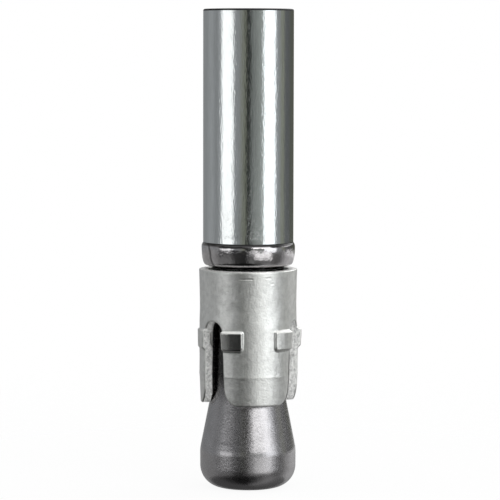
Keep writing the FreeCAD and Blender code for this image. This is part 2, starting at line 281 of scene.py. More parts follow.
class Graph:
    """Short ways to add and join nodes in one node tree."""

    def __init__(self, tree):
        self.tree = tree

    def add(self, kind, settings=None, **inputs):
        """Add a node, set its own settings, and fill or join its inputs by name."""
        node = self.tree.nodes.new(kind)
        for name, value in (settings or {}).items():
            setattr(node, name, value)
        for name, value in inputs.items():
            self.put(value, node.inputs[name.replace("_", " ")])
        return node

    def put(self, value, socket):
        """Join an output to a socket, or write a plain value into it."""
        if isinstance(value, bpy.types.NodeSocket):
            self.tree.links.new(value, socket)
        else:
            socket.default_value = value

    def math(self, operation, first, second=0.0, clamp=False):
        """Add a Math node and give its output."""
        node = self.tree.nodes.new("ShaderNodeMath")
        node.operation = operation
        node.use_clamp = clamp
        self.put(first, node.inputs[0])
        self.put(second, node.inputs[1])
        return node.outputs[0]

    def total(self, base, *terms):
        """Add terms to a base, each a value and its weight."""
        result = base
        for value, weight in terms:
            result = self.math("ADD", result, self.math("MULTIPLY", value, weight))
        return result

    def rise(self, value, start, length):
        """Go from 0 to 1 as a value rises from a start, over a length."""
        return self.math("DIVIDE", self.math("SUBTRACT", value, start), length, clamp=True)

    def fall(self, value, start, length):
        """Go from 0 to 1 as a value falls from a start, over a length."""
        return self.math("DIVIDE", self.math("SUBTRACT", start, value), length, clamp=True)

    def between(self, value, low, high, edge, last_edge=None):
        """Give 1 between two limits and 0 outside them, with soft edges."""
        enter = self.rise(value, low, edge)
        leave = self.fall(value, high, last_edge or edge)
        return self.math("MULTIPLY", enter, leave)

    def noise(self, place, scale, detail, roughness):
        """Add a noise texture and give its value, which lies about 0.5."""
        return self.add("ShaderNodeTexNoise", Vector=place, Scale=scale, Detail=detail,
                        Roughness=roughness).outputs["Fac"]

    def place(self):
        """Give the object coordinates of a point."""
        return self.add("ShaderNodeTexCoord").outputs["Object"]

    def mix(self, factor, first, second, blend="MIX"):
        """Mix two colours and give the result."""
        node = self.tree.nodes.new("ShaderNodeMix")
        node.data_type = "RGBA"
        node.blend_type = blend
        self.put(factor, node.inputs[0])
        self.put(first, node.inputs[6])
        self.put(second, node.inputs[7])
        return node.outputs[2]

    def apply(self, blend, colour, value):
        """Multiply or add one value to all channels of a colour."""
        spread = self.add("ShaderNodeCombineColor", Red=value, Green=value, Blue=value)
        return self.mix(1.0, colour, spread.outputs[0], blend)

    def mix_shaders(self, share, first, second):
        """Mix two shaders and give the result."""
        node = self.add("ShaderNodeMixShader", Fac=share)
        self.put(first, node.inputs[1])
        self.put(second, node.inputs[2])
        return node.outputs[0]

    def ramp(self, factor, stops, interpolation="LINEAR"):
        """Add a colour ramp with its stops as (position, colour) pairs."""
        node = self.tree.nodes.new("ShaderNodeValToRGB")
        node.color_ramp.interpolation = interpolation
        elements = node.color_ramp.elements
        while len(elements) < len(stops):
            elements.new(0.5)
        for element, (position, colour) in zip(elements, stops):
            element.position = position
            element.color = colour
        self.put(factor, node.inputs[0])
        return node.outputs[0]


def grey(level, tint=(1.0, 1.0, 1.0)):
    """Give an opaque colour of this level, with a slight tint."""
    return (level * tint[0], level * tint[1], level * tint[2], 1.0)


def blank_material(name):
    """Make a material without nodes, and the graph that fills it."""
    material = bpy.data.materials.new(name)
    material.use_nodes = True
    material.node_tree.nodes.clear()
    return material, Graph(material.node_tree)


def group_sockets(tree, inputs, outputs):
    """Declare a group's named inputs and outputs."""
    for name, kind, value in inputs:
        socket = tree.interface.new_socket(name, in_out="INPUT", socket_type=kind)
        socket.default_value = value
    for name, kind in outputs:
        tree.interface.new_socket(name, in_out="OUTPUT", socket_type=kind)


# Finishes


FLOAT = "NodeSocketFloat"
COLOR = "NodeSocketColor"
ZINC_INPUTS = (
    ("Color", COLOR, grey(0.6)),
    ("Shade", COLOR, grey(0.4)),
    ("Blotch Size", FLOAT, 2.0),
    ("Blotch Contrast", FLOAT, 0.3),
    ("Grain Size", FLOAT, 0.3),
    ("Grain Rise", FLOAT, 1.0),
    ("Streak", FLOAT, 0.5),
    ("Roughness", FLOAT, 0.25),
    ("Roughness Change", FLOAT, 0.1),
)
ZINC_OUTPUTS = (
    ("Color", COLOR),
    ("Roughness", FLOAT),
    ("Height", FLOAT),
)
STREAK_SHAPE = (1.0, 1.0, 0.035)
STREAK_SCALE = 3.2 / MM


def zinc_skin_group():
    """Plated steel: blotches in tone, fine grain, and streaks along the axis."""
    tree = bpy.data.node_groups.new("zinc_skin", "ShaderNodeTree")
    group_sockets(tree, ZINC_INPUTS, ZINC_OUTPUTS)
    graph = Graph(tree)
    given = graph.add("NodeGroupInput").outputs
    place = graph.place()
    blotch_scale = graph.math("DIVIDE", 1.0 / MM, given["Blotch Size"])
    grain_scale = graph.math("DIVIDE", 1.0 / MM, given["Grain Size"])
    stretch = graph.add("ShaderNodeCombineXYZ", X=1.0, Y=1.0, Z=given["Grain Rise"]).outputs[0]
    along = graph.add("ShaderNodeMapping", Vector=place, Scale=stretch).outputs[0]
    drawn = graph.add("ShaderNodeMapping", Vector=place, Scale=STREAK_SHAPE).outputs[0]
    blotch = graph.noise(along, blotch_scale, 4.0, 0.6)
    grain = graph.noise(along, grain_scale, 3.0, 0.55)
    streak = graph.math("SUBTRACT", graph.noise(drawn, STREAK_SCALE, 3.0, 0.6), 0.5)
    streak = graph.math("MULTIPLY", streak, given["Streak"])
    tone = graph.math("ADD", graph.math("SUBTRACT", blotch, 0.5), streak)
    tone = graph.math("MULTIPLY", tone, graph.math("MULTIPLY", given["Blotch Contrast"], 4.0))
    shade = graph.math("ADD", tone, 0.35, clamp=True)
    change = graph.math("MULTIPLY", graph.math("SUBTRACT", grain, 0.5),
                        given["Roughness Change"])
    done = graph.add("NodeGroupOutput").inputs
    graph.put(graph.mix(shade, given["Color"], given["Shade"]), done["Color"])
    graph.put(graph.total(given["Roughness"], (change, 2.0)), done["Roughness"])
    graph.put(graph.total(streak, (grain, 0.6), (blotch, 0.5)), done["Height"])
    return tree


def metal(name, skin, values, bump, depth, metallic=1.0):
    """Make a metal whose colour, roughness and relief come from the zinc skin."""
    material, graph = blank_material(name)
    effect = graph.add("ShaderNodeGroup", {"node_tree": skin})
    for socket, value in values.items():
        graph.put(value, effect.inputs[socket])
    relief = graph.add("ShaderNodeBump", Strength=bump, Distance=depth,
                       Height=effect.outputs["Height"])
    shader = graph.add("ShaderNodeBsdfPrincipled", Metallic=metallic,
                       Base_Color=effect.outputs["Color"],
                       Roughness=effect.outputs["Roughness"], Normal=relief.outputs[0])
    graph.add("ShaderNodeOutputMaterial", Surface=shader.outputs[0])
    return material


def mix_painted_shade(material, graph, share, tone):
    """Mix a painted dark shade into a finish by this share."""
    base = material.node_tree.nodes["Principled BSDF"].inputs["Base Color"]
    graph.put(graph.mix(share, base.links[0].from_socket, grey(tone)), base)


def paint_shade_above(material, low, high, tone):
    """Paint shade into a finish: it darkens from the lower level to the upper one and stays dark
    above.
    """
    graph = Graph(material.node_tree)
    level = graph.add("ShaderNodeSeparateXYZ", Vector=graph.place()).outputs["Z"]
    mix_painted_shade(material, graph, graph.rise(level, low, high - low), tone)


def paint_crease_shade(material):
    """Paint shade along the lap line across the collar, darkest in its middle."""
    graph = Graph(material.node_tree)
    split = graph.add("ShaderNodeSeparateXYZ", Vector=graph.place()).outputs
    angle = graph.math("ARCTAN2", split["Y"], split["X"])
    beside = graph.math("SUBTRACT", angle, CREASE_AZIMUTH - math.tau)
    rise = graph.math("SUBTRACT", split["Z"], COLLAR_MIDDLE)
    rise = graph.math("DIVIDE", rise, CREASE_RISE)
    bow = graph.math("MULTIPLY", rise, graph.math("ABSOLUTE", rise))
    beside = graph.math("ABSOLUTE", graph.total(beside, (bow, CREASE_LEAN)))
    share = graph.math("SUBTRACT", 1.0, graph.math("DIVIDE", beside, CREASE_HALF), clamp=True)
    share = graph.math("MULTIPLY", share, CREASE_PAINTED_SHADE_SHARE)
    mix_painted_shade(material, graph, share, CREASE_PAINTED_SHADE_TONE)


def make_metals(skin):
    """Make each finish that the anchor shows, by name."""
    metals = {
        "tube": metal("bright_drawn_zinc", skin, {
            "Color": grey(0.64, (0.97, 1.0, 1.0)), "Shade": grey(0.52, (0.97, 1.0, 0.98)),
            "Blotch Size": 1.0, "Blotch Contrast": 0.3, "Grain Size": 0.26,
            "Grain Rise": 0.26, "Streak": 0.25, "Roughness": 0.105, "Roughness Change": 0.06,
        }, bump=0.5, depth=0.06 * MM),
        # The rim's chamfer is painted near black: a painted dark reflection of the dark space
        # above.
        "rim": metal("rim_painted_dark_reflection", skin, {
            "Color": grey(0.05), "Shade": grey(0.03),
            "Blotch Size": 1.0, "Blotch Contrast": 0.4, "Grain Size": 0.3,
            "Streak": 0.0, "Roughness": 0.6, "Roughness Change": 0.1,
        }, bump=0.3, depth=0.04 * MM),
        "collar": metal("rolled_collar_zinc", skin, {
            "Color": grey(0.54, (1.0, 0.98, 0.99)), "Shade": grey(0.36, (1.0, 0.95, 0.96)),
            "Blotch Size": 1.3, "Blotch Contrast": 0.5, "Grain Size": 0.6,
            "Streak": 0.1, "Roughness": 0.1, "Roughness Change": 0.08,
        }, bump=0.5, depth=0.1 * MM),
        "cone": metal("dark_forged_cone_painted_neck_shade", skin, {
            "Color": grey(0.42, (1.0, 0.98, 1.0)), "Shade": grey(0.33, (1.0, 0.97, 0.98)),
            "Blotch Size": 1.6, "Blotch Contrast": 0.4, "Grain Size": 0.35,
            "Streak": 0.2, "Roughness": 0.27, "Roughness Change": 0.1,
        }, bump=0.45, depth=0.06 * MM),
        "thread": metal("threaded_bore_zinc", skin, {
            "Color": grey(0.55), "Shade": grey(0.38),
            "Blotch Size": 1.5, "Blotch Contrast": 0.3, "Grain Size": 0.3,
            "Streak": 0.0, "Roughness": 0.3, "Roughness Change": 0.1,
        }, bump=0.15, depth=0.04 * MM),
        "sleeve": metal("satin_sheet_zinc", skin, {
            "Color": grey(0.84, (0.99, 1.0, 0.97)), "Shade": grey(0.62, (0.99, 1.0, 0.97)),
            "Blotch Size": 0.9, "Blotch Contrast": 0.5, "Grain Size": 0.34,
            "Streak": 0.2, "Roughness": 0.38, "Roughness Change": 0.16,
        }, bump=0.7, depth=0.08 * MM),
        "pad": metal("burnished_pad_zinc", skin, {
            "Color": grey(0.7, (0.99, 1.0, 0.97)), "Shade": grey(0.48, (0.99, 1.0, 0.97)),
            "Blotch Size": 0.8, "Blotch Contrast": 0.4, "Grain Size": 0.4,
            "Streak": 0.0, "Roughness": 0.14, "Roughness Change": 0.04,
        }, bump=0.1, depth=0.04 * MM),
        "cut": metal("sheared_edge_zinc", skin, {
            "Color": grey(1.0, (1.0, 1.0, 0.98)), "Shade": grey(0.45, (0.98, 1.0, 0.98)),
            "Blotch Size": 0.5, "Blotch Contrast": 0.8, "Grain Size": 0.3,
            "Streak": 0.2, "Roughness": 0.45, "Roughness Change": 0.2,
        }, bump=0.9, depth=0.14 * MM, metallic=0.1),
    }
    # Painted shade: the neck inside the sleeve darkens towards the top.
    paint_shade_above(metals["cone"], NECK_PAINTED_SHADE_LOW, NECK_PAINTED_SHADE_HIGH, NECK_PAINTED_SHADE_TONE)
    # Painted shade: the collar's top darkens in the corner under the tube.
    paint_shade_above(metals["collar"], CORNER_PAINTED_SHADE_LOW, CORNER_PAINTED_SHADE_HIGH, CORNER_PAINTED_SHADE_TONE)
    # Painted shade along the collar's lap line.
    paint_crease_shade(metals["collar"])
    return metals


# Meshes


def new_piece(name, points, faces, materials, kinds):
    """Make a smooth mesh object at the origin, with one material number for each face."""
    mesh = bpy.data.meshes.new(name)
    mesh.from_pydata([tuple(p) for p in points], [], faces)
    for material in materials:
        mesh.materials.append(material)
    mesh.polygons.foreach_set("material_index", kinds)
    mesh.polygons.foreach_set("use_smooth", [True] * len(mesh.polygons))
    mesh.update()
    piece = new_object(name, mesh)
    close_skin(piece)
    return piece


def close_skin(piece):
    """Merge the points that parts of a skin share, and turn its faces outwards."""
    skin = bmesh.new()
    skin.from_mesh(piece.data)
    bmesh.ops.remove_doubles(skin, verts=skin.verts, dist=0.002 * MM)
    bmesh.ops.recalc_face_normals(skin, faces=skin.faces)
    skin.to_mesh(piece.data)
    skin.free()


def arc_points(centre, radius, start, finish, steps):
    """List points along an arc in the (radius, level) plane, from one angle to another."""
    angles = np.linspace(start, finish, steps)
    return [(centre[0] + radius * math.cos(a), centre[1] + radius * math.sin(a)) for a in angles]


def run_points(start, finish, steps):
    """List points along a straight run, without its last point."""
    shares = np.linspace(0.0, 1.0, steps, endpoint=False)
    return [(start[0] + (finish[0] - start[0]) * t, start[1] + (finish[1] - start[1]) * t)
            for t in shares]


def ring_points(radii, level):
    """Points of one ring round the axis, with a radius for each of its angles."""
    return [(radius * math.cos(angle), radius * math.sin(angle), level)
            for radius, angle in zip(radii, RING_ANGLES)]


def strip_faces(first, second):
    """Faces between two rings, given the number of each ring's first point."""
    return [(first + j, first + (j + 1) % AROUND, second + (j + 1) % AROUND, second + j)
            for j in range(AROUND)]


def bell(distance, width):
    """Give 1 at no distance, falling away smoothly on both sides."""
    return math.exp(-(distance / width) ** 2)


# Anchor body


def foot_and_cone():
    """Profile from the middle of the foot up to the straight part of the neck."""
    flat = BELLY_RADIUS - FOOT_ROUND
    land_top = BELLY_HEIGHT - BELLY_ROUND * math.tan(CONE_ANGLE / 2)
    cone_top = BELLY_HEIGHT + (BELLY_RADIUS - NECK_RADIUS) / math.tan(CONE_ANGLE)
    neck_start = cone_top + NECK_ROUND * math.tan(CONE_ANGLE / 2)
    belly = arc_points((BELLY_RADIUS - BELLY_ROUND, land_top), BELLY_ROUND, 0.0, CONE_ANGLE, 14)
    blend = arc_points((NECK_RADIUS + NECK_ROUND, neck_start), NECK_ROUND,
                       math.pi + CONE_ANGLE, math.pi, 6)
    profile = run_points((0.0, 0.0), (flat, 0.0), 6)
    profile += arc_points((flat, FOOT_ROUND), FOOT_ROUND, -math.pi / 2, 0.0, 24)[:-1]
    profile += run_points((BELLY_RADIUS, FOOT_ROUND), (BELLY_RADIUS, land_top), 6)
    profile += belly[:-1]
    profile += run_points(belly[-1], blend[0], 26)
    return profile + blend


def rolled_collar():
    """Profile of the bead that is rolled up between the neck and the tube."""
    corner = (NECK_RADIUS + NECK_FILLET, COLLAR_FOOT - NECK_FILLET)
    profile = arc_points(corner, NECK_FILLET, math.pi, math.pi / 2, 5)
    profile += [(radius * MM, COLLAR_FOOT + rise * MM) for radius, rise in COLLAR_RISING_MM]
    profile += [(radius * MM, COLLAR_TOP - drop * MM) for radius, drop in COLLAR_CLOSING_MM]
    return profile


def outside_stretches():
    """Stretches of the outside's profile from the foot to the mouth, each with its finish."""
    cone = foot_and_cone()
    collar = rolled_collar()
    rim = (TUBE_RADIUS - RIM_ROUND, MOUTH_LEVEL - RIM_ROUND)
    tube_foot = (TUBE_RADIUS, COLLAR_TOP + COLLAR_SHOULDER)
    tube_end = (TUBE_RADIUS, rim[1] - RIM_MARGIN)
    ring_start = (rim[0] - RING_MARGIN, MOUTH_LEVEL)
    return [
        (cone, "cone"),
        (run_points(cone[-1], collar[0], 10)[1:], "cone"),
        (collar, "collar"),
        (run_points(tube_foot, tube_end, TUBE_ROWS), "tube"),
        ([tube_end] + arc_points(rim, RIM_ROUND, 0.0, math.pi / 2, 8), "rim"),
        (run_points(ring_start, (MOUTH_RADIUS, MOUTH_LEVEL), 4), "tube"),
    ]


def crease_drop(angle, level):
    """Depth of the lap line that the rolling left across the collar."""
    rise = (level - COLLAR_MIDDLE) / CREASE_RISE
    beside = abs(angle - CREASE_AZIMUTH + CREASE_LEAN * rise * abs(rise)) / CREASE_HALF
    return CREASE_DEPTH * max(0.0, 1.0 - beside)


def body_wander(angle, level):
    """How far the rolled and forged stretches stray from a true circle."""
    if level <= FLAT_FOOT:
        return 0.0
    spot = Vector((math.cos(angle), math.sin(angle), level / WANDER_LENGTH))
    rolled = noise.noise(spot * 2.6) * ROLLED_WANDER - crease_drop(angle, level) - WANDER_SINK
    forged = noise.noise(spot * 1.7 + FORGED_SHIFT) * FORGED_WANDER - WANDER_SINK
    forged_share = max(0.0, min(1.0, (FORGED_TOP - level) / FORGED_FADE))
    parting = PARTING_RIDGE * bell(level - PARTING_LEVEL, PARTING_WIDTH)
    parting *= max(0.0, noise.noise(spot * 2.2) + 0.35)
    return rolled * bell(level - COLLAR_MIDDLE, ROLLED_REACH) + forged * forged_share + parting


def turned_skin():
    """Turn the outside's profile round the axis, from the foot's middle to the mouth."""
    profile = []
    finishes = []
    for stretch, finish in outside_stretches():
        profile += stretch
        finishes += [BODY_FINISHES.index(finish)] * len(stretch)
    profile.append((MOUTH_RADIUS, MOUTH_LEVEL))
    points = [(0.0, 0.0, profile[0][1])]
    for radius, level in profile[1:]:
        points += ring_points([radius + body_wander(a, level) for a in RING_ANGLES], level)
    faces = [(0, 1 + (j + 1) % AROUND, 1 + j) for j in range(AROUND)]
    for i in range(len(profile) - 2):
        faces += strip_faces(1 + i * AROUND, 1 + (i + 1) * AROUND)
    kinds = [finish for finish in finishes for _ in range(AROUND)]
    return points, faces, kinds


THREAD_INPUTS = (
    ("Around", "NodeSocketInt", AROUND),
    ("Rows", "NodeSocketInt", THREAD_ROWS),
    ("Length", FLOAT, THREAD_GRID_LENGTH),
    ("Mouth Level", FLOAT, MOUTH_LEVEL),
    ("Mouth Radius", FLOAT, MOUTH_RADIUS),
    ("Core Radius", FLOAT, CORE_RADIUS),
    ("Pitch", FLOAT, THREAD_PITCH),
    ("Groove Depth", FLOAT, THREAD_DEPTH),
    ("Root Half", FLOAT, THREAD_ROOT),
    ("Flank", FLOAT, THREAD_FLANK),
    ("Threaded Length", FLOAT, THREAD_LENGTH),
    ("Finish", "NodeSocketMaterial", None),
)


def groove_cut(graph, given, turn, depth):
    """Depth of the thread's groove at a place, fading out where the thread ends."""
    advance = graph.math("ADD", graph.math("DIVIDE", depth, given["Pitch"]), turn)
    phase = graph.math("ABSOLUTE", graph.math("SUBTRACT", graph.math("FRACT", advance), 0.5))
    from_groove = graph.math("MULTIPLY", phase, given["Pitch"])
    reach = graph.math("ADD", given["Root Half"], given["Flank"])
    cut = graph.fall(from_groove, reach, given["Flank"])
    fade = graph.fall(depth, given["Threaded Length"], given["Pitch"])
    return graph.math("MULTIPLY", graph.math("MULTIPLY", cut, fade), given["Groove Depth"])


def thread_tree():
    """Bend a flat grid into the countersunk and threaded wall of the bore."""
    tree = bpy.data.node_groups.new("threaded_bore", "GeometryNodeTree")
    group_sockets(tree, THREAD_INPUTS, [("Geometry", "NodeSocketGeometry")])
    graph = Graph(tree)
    given = graph.add("NodeGroupInput").outputs
    grid = graph.add("GeometryNodeMeshGrid", Size_X=1.0, Size_Y=1.0,
                     Vertices_X=graph.math("ADD", given["Around"], 1.0),
                     Vertices_Y=given["Rows"])
    place = graph.add("GeometryNodeInputPosition").outputs[0]
    split = graph.add("ShaderNodeSeparateXYZ", Vector=place).outputs
    turn = graph.math("ADD", split["X"], 0.5)
    depth = graph.math("MULTIPLY", graph.math("SUBTRACT", 0.5, split["Y"]), given["Length"])
    wall = graph.math("ADD", given["Core Radius"], groove_cut(graph, given, turn, depth))
    countersink = graph.math("SUBTRACT", given["Mouth Radius"], depth)
    radius = graph.math("MAXIMUM", wall, countersink)
    angle = graph.math("MULTIPLY", turn, math.tau)
    bent = graph.add("ShaderNodeCombineXYZ",
                     X=graph.math("MULTIPLY", radius, graph.math("COSINE", angle)),
                     Y=graph.math("MULTIPLY", radius, graph.math("SINE", angle)),
                     Z=graph.math("SUBTRACT", given["Mouth Level"], depth))
    moved = graph.add("GeometryNodeSetPosition", Geometry=grid.outputs["Mesh"],
                      Position=bent.outputs[0])
    real = graph.add("GeometryNodeRealizeInstances", Geometry=moved.outputs[0])
    finished = graph.add("GeometryNodeSetMaterial", Geometry=real.outputs[0],
                         Material=given["Finish"])
    graph.add("NodeGroupOutput", Geometry=finished.outputs[0])
    return tree


def thread_mesh(finish):
    """Run the threaded bore's tree and give its result as a plain mesh."""
    holder = new_object("bore_wall", bpy.data.meshes.new("bore_wall"))
    modifier = holder.modifiers.new("threaded_bore", "NODES")
    modifier.node_group = thread_tree()
    sockets = modifier.node_group.interface.items_tree
    modifier[sockets["Finish"].identifier] = finish
    evaluated = holder.evaluated_get(bpy.context.evaluated_depsgraph_get())
    mesh = bpy.data.meshes.new_from_object(evaluated)
    bpy.data.objects.remove(holder)
    return mesh


def hole_end():
    """Points and faces of the plain core and the drill's cone below the thread."""
    start = MOUTH_LEVEL - THREAD_GRID_LENGTH
    floor = MOUTH_LEVEL - CORE_DEPTH
    tip = floor - CORE_RADIUS * DRILL_RISE
    rings = run_points((CORE_RADIUS, start), (CORE_RADIUS, floor), 5)
    rings += run_points((CORE_RADIUS, floor), (0.0, tip), 6)
    points = []
    for radius, level in rings:
        points += ring_points([radius] * AROUND, level)
    points.append((0.0, 0.0, tip))
    faces = []
    for i in range(len(rings) - 1):
        faces += strip_faces(i * AROUND, (i + 1) * AROUND)
    last = (len(rings) - 1) * AROUND
    faces += [(last + j, last + (j + 1) % AROUND, len(points) - 1) for j in range(AROUND)]
    return points, faces


def make_anchor_body(metals):
    """Join the turned outside, the drilled end and the threaded bore in one closed skin."""
    points, faces, kinds = turned_skin()
    bore = thread_mesh(metals["thread"])
    bore_points = [tuple(v.co) for v in bore.vertices]
    bore_faces = [tuple(face.vertices) for face in bore.polygons]
    for more_points, more_faces in (hole_end(), (bore_points, bore_faces)):
        shift = len(points)
        points += more_points
        faces += [tuple(shift + v for v in face) for face in more_faces]
        kinds += [BODY_FINISHES.index("thread")] * len(more_faces)
    materials = [metals[name] for name in BODY_FINISHES]
    piece = new_piece("anchor_body_finish", points, faces, materials, kinds)
    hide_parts("anchor_body")
    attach(piece, "bolt")


# Expansion sleeve


def slot_side(level):
    """Half of the slot's width where its sides run straight."""
    rise = (level - SLEEVE_BOTTOM) / (SLOT_TOP - SLEEVE_BOTTOM)
    return SLOT_MOUTH_HALF + (SLOT_HALF - SLOT_MOUTH_HALF) * rise


ARCH_START = SLOT_TOP - ARCH_ROUND
CORNER_TOP = SLEEVE_BOTTOM + LOBE_ROUND
CORNER_CENTRE = slot_side(CORNER_TOP) + LOBE_ROUND


def slot_opening(level):
    """Half of the slot's width at any level, with its arch and the lobes' corners."""
    if level <= CORNER_TOP:
        drop = min(LOBE_ROUND, CORNER_TOP - level)
        return CORNER_CENTRE - math.sqrt(LOBE_ROUND ** 2 - drop ** 2)
    if level <= ARCH_START:
        return slot_side(level)
    rise = min(1.0, (level - ARCH_START) / ARCH_ROUND)
    return slot_side(ARCH_START) * math.sqrt(1.0 - rise ** 2)


def slot_distance(across, level):
    """Distance from the slot's cut edge, measured in the sheet; positive in the metal."""
    if level <= CORNER_TOP:
        if across >= CORNER_CENTRE:
            return level - SLEEVE_BOTTOM
        return LOBE_ROUND - math.hypot(CORNER_CENTRE - across, CORNER_TOP - level)
    if level <= ARCH_START:
        return across - slot_side(level)
    narrow = ARCH_ROUND / slot_side(ARCH_START)
    return math.hypot(across * narrow, level - ARCH_START) - ARCH_ROUND


def edge_distance(lobe, turn, level):
    """Distance from the nearest slot or seam, measured in the sheet."""
    across = SLEEVE_RADIUS * math.tan(max(0.0, LOBE_HALF_TURN - abs(turn)))
    distance = slot_distance(across, level)
    at_seam = (lobe == 0 and turn < 0) or (lobe == LOBES - 1 and turn > 0)
    if at_seam and level > ARCH_START:
        distance = min(distance, across - SEAM_HALF)
    return distance


def rounded_drop(distance, radius):
    """How far a rounded edge falls away at this distance from it."""
    if distance >= radius:
        return 0.0
    return radius * (1.0 - math.sqrt(1.0 - (1.0 - max(0.0, distance) / radius) ** 2))


def smooth(share):
    """Ease from 0 to 1."""
    share = max(0.0, min(1.0, share))
    return share * share * (3.0 - 2.0 * share)


def pad_rise(turn, level, inset):
    """Share of the pad's height at a place, from 0 beside the pad to 1 on its top."""
    along = (PAD_END - abs(turn)) * SLEEVE_RADIUS + inset + PAD_CORNER
    slope = PAD_TOP_SLOPE if level > PAD_LEVEL else PAD_FOOT_SLOPE
    up = abs(level - PAD_LEVEL) - PAD_HALF_HEIGHT + inset
    up = up * PAD_SLOPE / slope + PAD_CORNER
    outside = math.hypot(max(0.0, along), max(0.0, up))
    gap = outside + min(0.0, max(along, up)) - PAD_CORNER
    return smooth(-gap / PAD_SLOPE)


def pad_height(lobe, turn, level):
    """How far a pad stands out at a place on it; each pad tilts and leans a little."""
    proud = PAD_PROUD * (0.75 if lobe == 0 and turn > 0 else 1.0)
    low = PAD_TILT * abs(abs(turn) - PAD_HIGH_TURN) / (PAD_HIGH_TURN - PAD_END)
    lean = PAD_LEAN if turn < 0 else 0.3 * PAD_LEAN
    low += lean * (PAD_TOP - level) / (2.0 * PAD_HALF_HEIGHT)
    return proud - low


def sleeve_profile(level):
    """Outer radius of the wrapped strip away from its pads."""
    ridge = BEND_RIDGE * smooth(1.0 - abs(level - BEND_LEVEL) / BEND_RIDGE_HALF)
    if level < BEND_LEVEL:
        share = (BEND_LEVEL - level) / (BEND_LEVEL - SLEEVE_BOTTOM)
        return SLEEVE_RADIUS + ridge - BEND_INSET * share
    if level < PAD_LEVEL:
        return SLEEVE_RADIUS + ridge
    if level < WAIST_LEVEL:
        drawn_in = smooth((level - PAD_TOP) / (WAIST_LEVEL - PAD_TOP))
        return SLEEVE_RADIUS - WAIST_INSET * drawn_in
    flare = ((level - WAIST_LEVEL) / (SLEEVE_TOP - WAIST_LEVEL)) ** TOP_FLARE_POWER
    return SLEEVE_RADIUS - WAIST_INSET + (WAIST_INSET + TOP_FLARE) * flare


def lobe_flare(lobe, turn, level):
    """How far the last lobe's one flat edge stands off the circle, below its slot's arch."""
    if lobe != LOBES - 1:
        return 0.0
    share = max(0.0, (-turn - LOBE_FLARE_START) / LOBE_FLARE_SPAN)
    return LOBE_FLARE * share ** 2 * smooth((SLOT_TOP - level) / LOBE_FLARE_FADE)


def dent_drop(azimuth, level):
    """Depth of the short dents near the sleeve's upper end."""
    drop = 0.0
    for middle, height, half_length, depth in DENTS:
        up = abs(level - height) / DENT_HALF_HEIGHT
        along = abs(azimuth - middle) * SLEEVE_RADIUS / half_length
        drop += depth * smooth(1.0 - up) * smooth(2.0 - 2.0 * along)
    return drop


def unevenness(azimuth, level):
    """How far the rolled sheet strays from a true circle."""
    spot = Vector((math.cos(azimuth), math.sin(azimuth), level / SLEEVE_RADIUS))
    return UNEVEN * (noise.noise(spot * 3.1) + 0.5 * noise.noise(spot * 7.3) - 0.5)


def lobe_azimuth(lobe):
    """Azimuth of a lobe's middle; the seam lies between the last lobe and the first."""
    return math.radians(150.0 + 120.0 * lobe)


def sheet_point(lobe, turn, level, inner):
    """Place one point of the wrapped strip's outer or inner face."""
    azimuth = lobe_azimuth(lobe) + turn
    edge = edge_distance(lobe, turn, level)
    ends = min(level - SLEEVE_BOTTOM, SLEEVE_TOP - level)
    reach = sleeve_profile(level) + lobe_flare(lobe, turn, level)
    if inner:
        reach += DIMPLE_DEPTH * pad_rise(turn, level, DIMPLE_INSET) - SLEEVE_WALL
        reach += rounded_drop(min(edge, ends), INNER_BREAK)
    else:
        reach += pad_height(lobe, turn, level) * pad_rise(turn, level, 0.0)
        reach += unevenness(azimuth, level) - dent_drop(azimuth, level)
        reach -= max(rounded_drop(edge, ROLLOVER), rounded_drop(ends, TOP_BREAK))
    return Vector((reach * math.cos(azimuth), reach * math.sin(azimuth), level))


def lobe_levels():
    """Levels of the rows beside the slots, closer together at corners, bend, pads and arch."""
    levels = [CORNER_TOP - LOBE_ROUND * math.cos(a) for a in np.linspace(0, math.pi / 2, 13)]
    edges = (PAD_LEVEL - PAD_HALF_HEIGHT, PAD_TOP, BEND_LEVEL)
    level = CORNER_TOP
    while level < ARCH_START - 0.12 * MM:
        close = min(abs(level - edge) for edge in edges) < FINE_REACH
        level += FINE_ROW if close else PLAIN_ROW
        levels.append(level)
    levels += [ARCH_START + ARCH_ROUND * math.sin(a) for a in np.linspace(0, math.pi / 2, 16)]
    return levels


def upper_levels():
    """Levels of the rows above the slots, closer together at the dents and the end."""
    levels = [SLOT_TOP + step * MM for step in (0.04, 0.1, 0.2, 0.34)]
    top = SLEEVE_TOP - EDGE_OFFSETS[0]
    plain = np.arange(SLOT_TOP + 0.6 * MM, top - 0.1 * MM, UPPER_ROW)
    low = min(dent[1] for dent in DENTS) - DENT_MARGIN
    high = max(dent[1] for dent in DENTS) + DENT_MARGIN
    levels += [level for level in plain if not low < level < high]
    levels += list(np.arange(low, high, DENT_ROW))
    return levels + [SLEEVE_TOP - step for step in EDGE_OFFSETS]


def lobe_turns(half_turn):
    """Angles from a lobe's middle to its edge, closer together at the pad and the edge."""
    turns = [math.radians(a) for a in np.linspace(0.0, 16.5, 11)]
    turns += [math.radians(a) for a in np.linspace(17.1, 22.0, 9)]
    last = half_turn - EDGE_OFFSETS[0] / SLEEVE_RADIUS
    turns += list(np.linspace(turns[-1], last, 17))[1:]
    return turns + [half_turn - step / SLEEVE_RADIUS for step in EDGE_OFFSETS[1:]]


def lobe_half_turn(level, at_seam):
    """Angle from a lobe's middle to its edge at a level."""
    opening = slot_opening(level)
    if at_seam:
        opening = max(opening, SEAM_HALF)
    return LOBE_HALF_TURN - math.atan(opening / SLEEVE_RADIUS)


